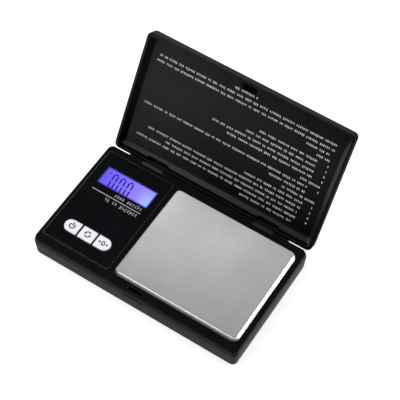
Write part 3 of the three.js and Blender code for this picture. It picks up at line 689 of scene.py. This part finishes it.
def tray_sheet():
    """The pressed steel tray: flat top, soft bend, flared skirt, and its own sheet thickness."""
    low, high = box_mm("tray")
    outer = [(low.z, 0.0, TRAY_CORNERS[0])]
    inner = [(low.z, TRAY_SHEET, TRAY_CORNERS[0] - 0.3)]
    for step in range(TRAY_BEND_STEPS + 1):
        angle = TRAY_FLARE + (math.pi / 2 - TRAY_FLARE) * step / TRAY_BEND_STEPS
        for wall, radius in ((outer, TRAY_BEND), (inner, TRAY_BEND - TRAY_SHEET)):
            wall.append((
                high.z - TRAY_BEND + radius * math.sin(angle),
                TRAY_REACH - radius * math.cos(angle),
                TRAY_CORNERS[1] + radius * math.cos(angle),
            ))
    rings = []
    for height, inward, corner in inner[::-1] + outer:
        x0, x1 = low.x + inward, high.x - inward
        y0, y1 = low.y + inward, high.y - inward
        rings.append(rounded_ring(height, x0, x1, y0, y1, corner))
    count = len(rings[0])
    vertices = [point for ring in rings for point in ring]
    faces = []
    for index in range(len(rings) - 1):
        faces += bridge(count, index * count, (index + 1) * count)
    last = (len(rings) - 1) * count
    faces.append(tuple(last + i for i in range(count)))
    faces.append(tuple(reversed(range(count))))
    piece = add_mesh("tray_sheet", vertices, faces, STEEL, "platform")
    piece.data.shade_smooth()
    normals = piece.modifiers.new("normals", "WEIGHTED_NORMAL")
    normals.weight = 80
    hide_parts("tray")
    return piece


tray = tray_sheet()


# ------------------------------------------------------------------ keys
KEY_ORDER = (("button_power", "power_key"), ("button_mode", "mode_key"), ("button_tare", "tare_key"))
KEY_CROWN = 0.45  # radius of the rounding round a key's top
KEY_ROUNDING_STEPS = 6
KEY_CORNER = 0.45  # plan radius where two keys meet
KEY_CORNER_STEPS = 12  # facets round each plan corner
KEY_SKIRT = 0.35  # how far each CAD key's flange stands out under the panel


def key_outline(x0, x1, y0, y1, round_left, round_right, inset):
    """One key's plan: a half-round outer end where it has one, and small radii elsewhere."""
    radius = (y1 - y0) / 2
    x0, x1, y0, y1 = x0 + inset, x1 - inset, y0 + inset, y1 - inset
    big = radius - inset
    corner = max(KEY_CORNER - inset * 0.5, 0.15)
    points = []
    for quarter, (right, top) in enumerate(((True, True), (False, True), (False, False), (True, False))):
        r = big if (round_right if right else round_left) else corner
        cx = x1 - r if right else x0 + r
        cy = y1 - r if top else y0 + r
        for step in range(KEY_CORNER_STEPS + 1):
            angle = (quarter + step / KEY_CORNER_STEPS) * math.pi / 2
            points.append((cx + r * math.cos(angle), cy + r * math.sin(angle)))
    return points


def key_cap(node, body, round_left, round_right):
    low, high = box_mm(node)
    x0, x1 = low.x + KEY_SKIRT, high.x - KEY_SKIRT
    y0, y1 = low.y + KEY_SKIRT, high.y - KEY_SKIRT
    levels = [(low.z, 0.0)]
    for step in range(KEY_ROUNDING_STEPS + 1):
        angle = math.pi / 2 * step / KEY_ROUNDING_STEPS
        levels.append((high.z - KEY_CROWN * (1 - math.sin(angle)), KEY_CROWN * (1 - math.cos(angle))))
    vertices = []
    for z, inset in levels:
        vertices += [(x, y, z) for x, y in key_outline(x0, x1, y0, y1, round_left, round_right, inset)]
    count = len(vertices) // len(levels)
    faces = [tuple(reversed(range(count)))]
    for index in range(len(levels) - 1):
        faces += bridge(count, index * count, (index + 1) * count)
    faces.append(tuple((len(levels) - 1) * count + i for i in range(count)))
    piece = add_mesh(node.replace("button", "key_cap"), vertices, faces, KEYS, body)
    piece.data.shade_smooth()
    normals = piece.modifiers.new("normals", "WEIGHTED_NORMAL")
    normals.weight = 80
    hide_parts(node)
    return piece, Vector(((x0 + x1) / 2, (y0 + y1) / 2, high.z))


LEGEND_PEN = 0.58  # stroke width of the keys' symbols


def power_symbol(strokes, centre):
    radius = 1.5
    strokes.arc((centre.x, centre.y), radius, LEGEND_PEN, -235, 55, steps=26)
    strokes.line((centre.x, centre.y + 0.4), (centre.x, centre.y + radius + 0.5), LEGEND_PEN)


def mode_symbol(strokes, centre):
    """Two half turns that chase each other: step to the next unit."""
    radius = 1.6
    sweep = 125
    for start in (215, 35):
        strokes.arc((centre.x, centre.y), radius, LEGEND_PEN, start, start + sweep, steps=14)
        tip = math.radians(start + sweep + 12)
        out = Vector((math.cos(tip), math.sin(tip)))
        along = Vector((-out.y, out.x))
        middle = Vector((centre.x, centre.y)) + out * radius
        point = middle + along * 0.65
        base = middle - along * 0.45
        strokes.slab([tuple(base - out * 0.8), tuple(base + out * 0.8), tuple(point)])


def tare_symbol(strokes, centre):
    """A nought between two arrows: back to zero."""
    steps = 18
    half = LEGEND_PEN / 2
    for i in range(steps):
        corners = []
        for share, grow in ((i, -half), (i, half), (i + 1, half), (i + 1, -half)):
            angle = 2 * math.pi * share / steps
            x = centre.x + (0.8 + grow) * math.cos(angle)
            y = centre.y + (1.3 + grow) * math.sin(angle)
            corners.append((x, y))
        strokes.slab(corners)
    for side in (-1, 1):
        tip = centre.x + side * 1.5
        strokes.line((tip + side * 0.7, centre.y), (centre.x + side * 2.8, centre.y), LEGEND_PEN * 0.8)
        wing = [(tip, centre.y), (tip + side * 0.95, centre.y + 0.8), (tip + side * 0.95, centre.y - 0.8)]
        strokes.slab(wing if side < 0 else wing[::-1])


SYMBOLS = (power_symbol, mode_symbol, tare_symbol)
key_caps = []
for index, (node, body) in enumerate(KEY_ORDER):
    cap, crown = key_cap(node, body, index == 0, index == 2)
    key_caps.append(cap)
    legend = Strokes(crown.z)
    SYMBOLS[index](legend, crown)
    legend.piece(node.replace("button", "key_legend"), KEY_INK, body)


# ------------------------------------------------------------------ display
DIGITS = 3
FIRST_DIGIT = (6.2, 0.1)  # lower left of the first nought, from the window's lower left
DIGIT_PITCH = 4.9
DIGIT_WIDTH = 2.45  # between the middles of its uprights
DIGIT_HEIGHT = 9.3
DIGIT_PEN = 0.95
DIGIT_SLANT = 0.1  # lean to the left, going up
UNIT_MARK_X = (2.3, 2.95)  # the unit mark's sides, from the window's left side
UNIT_MARK_Y = (-3.2, -1.9)  # and its ends, from the window's far side


def nought(strokes, x, y0):
    """A nought from six of a digit's seven segments."""
    middle = y0 + DIGIT_HEIGHT / 2
    top = y0 + DIGIT_HEIGHT
    right = x + DIGIT_WIDTH
    nib = DIGIT_PEN / 2
    gap = DIGIT_PEN * 0.12

    def lean(px, py):
        return (px - (py - y0) * DIGIT_SLANT, py)

    def upright(px, low, high):
        points = [(px, low), (px + nib, low + nib), (px + nib, high - nib)]
        points += [(px, high), (px - nib, high - nib), (px - nib, low + nib)]
        strokes.slab([lean(*p) for p in points])

    def level(py):
        left_end, right_end = x + gap, right - gap
        points = [(left_end, py), (left_end + nib, py - nib), (right_end - nib, py - nib)]
        points += [(right_end, py), (right_end - nib, py + nib), (left_end + nib, py + nib)]
        strokes.slab([lean(*p) for p in points])

    level(top)
    level(y0)
    for low, high in ((middle, top), (y0, middle)):
        for px in (x, right):
            upright(px, low + gap * 2, high - gap * 2)


def display_marks():
    """Three noughts and a small unit mark."""
    glass_top = box_mm("lcd_glass")[1].z
    window_low, window_high = box_mm("display_lens")
    digits = Strokes(glass_top)
    for index in range(DIGITS):
        x = window_low.x + FIRST_DIGIT[0] + index * DIGIT_PITCH
        nought(digits, x, window_low.y + FIRST_DIGIT[1])
    left, right = (window_low.x + place for place in UNIT_MARK_X)
    near, far = (window_high.y + place for place in UNIT_MARK_Y)
    digits.box(left, right, near, far)
    piece = digits.piece("display_digits", SEGMENTS, "base")


display_marks()


# ------------------------------------------------------------------ printing on the panel
RULE_DROP = 4.9  # from the window's near edge to the printed rule
RULE_HALF = 0.24
PANEL_LETTER = 1.75  # height of its letters


def panel_printing():
    """A rule across the panel, with a row of stand-in letters above it and one below."""
    panel_top = box_mm("display_panel")[1].z
    window_low, window_high = box_mm("display_lens")
    rng = random.Random(PRINT_SEED)
    ink = Strokes(panel_top)
    rule_y = window_low.y - RULE_DROP
    row_end = window_high.x - 0.6
    ink.box(window_low.x - 0.1, window_high.x - 0.5, rule_y - RULE_HALF, rule_y + RULE_HALF)
    stand_in_row(ink, window_high.x - 18.3, row_end, rule_y + 1.5, PANEL_LETTER, rng)
    stand_in_row(ink, window_high.x - 21.6, row_end, rule_y - 1.35, PANEL_LETTER, rng, flip=True)
    ink.piece("panel_printing", WHITE_INK, "base")


panel_printing()


# ------------------------------------------------------------------ printing inside the cover
# Rows count down from the free edge. Each row gives its two ends in X, and True if a list mark
# stands at its right end.
ROW_PITCH = 3.27
FIRST_ROW = 62.6  # counted from REAR_EDGE
MARK_X = 54.1  # left side of the list marks
COVER_LETTER = 1.1
ROWS = (
    (-8.0, 7.0, False),
    (-54.0, 55.5, False),
    (-55.0, 55.2, False),
    (38.8, 55.4, False),
    (46.3, 55.2, False),
    (13.0, 49.0, True),
    (5.8, 48.7, True),
    (-14.2, 48.5, True),
    (-4.0, 48.9, True),
    (42.6, 55.4, False),
    (-54.8, 48.9, True),
    (25.8, 48.7, False),
    (34.9, 55.2, False),
    (12.7, 49.1, True),
    (-48.0, 49.0, True),
    (-35.7, 48.9, True),
    (-53.7, 48.3, True),
    (14.2, 48.8, False),
)


def cover_printing():
    rng = random.Random(PRINT_SEED + 1)
    ink = Strokes(LID_FLOOR, down=True)
    for index, (x0, x1, mark) in enumerate(ROWS):
        y = REAR_EDGE - (FIRST_ROW - index * ROW_PITCH) - COVER_LETTER / 2
        stand_in_row(ink, x0, x1, y, COVER_LETTER, rng)
        if mark:
            stand_in_word(ink, MARK_X, y, 1, COVER_LETTER, rng)
    piece = ink.piece("cover_printing", LID_INK, "lid", lid=True)


cover_printing()


# ------------------------------------------------------------------ stage
FLOOR_SIZE = 3.0
FLOOR_GLOW = 0.62  # a lit table, which keeps the floor white round a black object
# brightness of the room's walls, as (sine of height above the horizon, level)
FRONT_WALL = ((0.0, 0.6), (0.3, 1.1), (0.5, 1.0), (0.72, 0.5), (1.0, 0.5))
BACK_WALL = ((0.0, 0.05), (0.2, 0.06), (0.5, 0.3), (0.8, 0.44), (1.0, 0.45))
BACK_EDGE = (0.6, 0.85)  # where the back wall begins and is full, as the share of the way round to +Y
# a dark flag to the right of the lit walls, which draws a line along the tray's bend
FLAG_EDGE = (0.2, 0.45)  # where it begins and is full, as the share of the way round to +X
FLAG_DEPTH = 0.75
WHITE = (1, 1, 1, 1)
BLACK = (0, 0, 0, 1)


def build_stage():
    half = FLOOR_SIZE / 2
    floor_z = cad_low.z - 0.02 * MM
    data = bpy.data.meshes.new("floor")
    corners = [(x, y, floor_z) for x, y in ((-half, -half), (half, -half), (half, half), (-half, half))]
    data.from_pydata(corners, [], [(0, 1, 2, 3)])
    floor = bpy.data.objects.new("floor", data)
    bpy.context.scene.collection.objects.link(floor)
    m = Nodes("floor_pale")
    m.set(Base_Color=(0.9, 0.9, 0.9, 1), Roughness=0.8, Specular_IOR_Level=0.1)
    m.set(Emission_Color=WHITE, Emission_Strength=FLOOR_GLOW)
    data.materials.append(m.material)


def build_world():
    """A white room to the camera. Reflections see softer walls: bright to the front, dim behind."""
    world = bpy.data.worlds.new("studio")
    world.use_nodes = True
    bpy.context.scene.world = world
    tree = world.node_tree

    def joined(source, target):
        tree.links.new(source, target)

    def wall(height, stops):
        ramp = tree.nodes.new("ShaderNodeValToRGB")
        fill_ramp(ramp, [(place, (level, level, level, 1)) for place, level in stops])
        joined(height, ramp.inputs["Fac"])
        return ramp.outputs["Color"]

    def fade(value, edge, full=1.0):
        node = tree.nodes.new("ShaderNodeMapRange")
        node.interpolation_type = "SMOOTHSTEP"
        node.inputs["From Min"].default_value = edge[0]
        node.inputs["From Max"].default_value = edge[1]
        node.inputs["To Max"].default_value = full
        joined(value, node.inputs["Value"])
        return node.outputs["Result"]

    def mixed(factor, first, second):
        node = tree.nodes.new("ShaderNodeMix")
        node.data_type = "RGBA"
        joined(factor, node.inputs["Factor"])
        joined(first, node.inputs[6])
        if isinstance(second, tuple):
            node.inputs[7].default_value = second
        else:
            joined(second, node.inputs[7])
        return node.outputs[2]

    split = tree.nodes.new("ShaderNodeSeparateXYZ")
    joined(tree.nodes.new("ShaderNodeTexCoord").outputs["Generated"], split.inputs[0])
    x, y, z = split.outputs
    room = mixed(fade(y, BACK_EDGE), wall(z, FRONT_WALL), wall(z, BACK_WALL))
    room = mixed(fade(x, FLAG_EDGE, FLAG_DEPTH), room, BLACK)
    camera_ray = tree.nodes.new("ShaderNodeLightPath").outputs["Is Camera Ray"]
    background = tree.nodes["Background"]
    joined(mixed(camera_ray, room, WHITE), background.inputs["Color"])
    background.inputs["Strength"].default_value = 1.0


def area_light(name, place, target, size, power):
    """A rectangular lamp at a place in metres, turned to a target, with its power in watts."""
    lamp = bpy.data.lights.new(name, "AREA")
    lamp.shape = "RECTANGLE"
    lamp.size, lamp.size_y = size
    lamp.energy = power
    holder = bpy.data.objects.new(name, lamp)
    holder.location = place
    holder.rotation_mode = "QUATERNION"
    holder.visible_camera = False
    holder.rotation_quaternion = (Vector(target) - Vector(place)).to_track_quat("-Z", "Y")
    bpy.context.scene.collection.objects.link(holder)
    return holder


def light_group(name, pieces, lamps, lit=True):
    """Lamps that light only these pieces, or all but these, as a studio does with screens and flags."""
    group = bpy.data.collections.new(name)
    for piece in pieces:
        group.objects.link(piece)
    for member in group.collection_objects:
        member.light_linking.link_state = "INCLUDE" if lit else "EXCLUDE"
    for lamp in lamps:
        area_light(*lamp).light_linking.receiver_collection = group


def build_camera():
    azimuth = math.radians(CAMERA_AZIMUTH)
    elevation = math.radians(CAMERA_ELEVATION)
    roll = math.radians(CAMERA_ROLL)
    look = Vector((
        -math.sin(azimuth) * math.cos(elevation),
        math.cos(azimuth) * math.cos(elevation),
        -math.sin(elevation),
    ))
    right = look.cross(Vector((0, 0, 1))).normalized()
    up = right.cross(look)
    rolled_right = right * math.cos(roll) + up * math.sin(roll)
    rolled_up = up * math.cos(roll) - right * math.sin(roll)
    data = bpy.data.cameras.new("camera")
    data.lens = CAMERA_LENS
    data.sensor_width = SENSOR
    camera = bpy.data.objects.new("camera", data)
    camera.matrix_world = Matrix.Translation(CAMERA_PLACE) @ Matrix(
        (rolled_right, rolled_up, -look)
    ).transposed().to_4x4()
    bpy.context.scene.collection.objects.link(camera)
    bpy.context.scene.camera = camera


# lamps as (name, place, target, size, power), in groups that light only some pieces
COVER_LAMPS = (
    ("slope_lamp", (-0.218, 0.133, 0.474), (-0.05, 0.04, 0.01), (0.1, 0.1), 2.0),
    ("cover_card", (-0.27, -0.45, 0.1), (-0.05, 0.075, 0.065), (0.14, 0.14), 1.3),
    ("wall_lamp", (-0.5, 0.136, 0.272), (0.05, 0.06, 0.045), (0.08, 0.08), 18),
)
TRAY_LAMPS = (
    ("tray_softbox", (-0.2, 0.3, 0.45), (0, 0.02, 0.02), (0.2, 0.2), 0.45),
    ("skirt_lamp", (-0.12, -0.5, 0.06), (0.02, 0, 0.015), (0.2, 0.1), 2.0),
)
KEY_LAMPS = (("key_card", (-0.1, -0.15, 0.5), (-0.04, -0.02, 0.015), (0.2, 0.2), 0.8),)
CASE_LAMPS = (("ridge_lamp", (-0.125, -0.17, 0.45), (0, 0.036, 0.013), (0.06, 0.06), 0.7),)
OPEN_LAMPS = (("right_rim", (0.5, 0.27, 0.08), (0, 0, 0.015), (0.2, 0.15), 2.8),)

build_stage()
build_world()
area_light("left_low", (-0.5, -0.05, 0.2), (0.05, 0.05, 0.03), (0.2, 0.2), 1.0)
light_group("all_but_cover", [nodes["lid"]], OPEN_LAMPS, lit=False)
light_group("cover_only", [nodes["lid"]], COVER_LAMPS)
light_group("tray_only", [tray], TRAY_LAMPS)
light_group("keys_only", key_caps, KEY_LAMPS)
light_group("case_only", [nodes["top_case"]], CASE_LAMPS)
build_camera()
bpy.context.scene.view_settings.view_transform = "Standard"
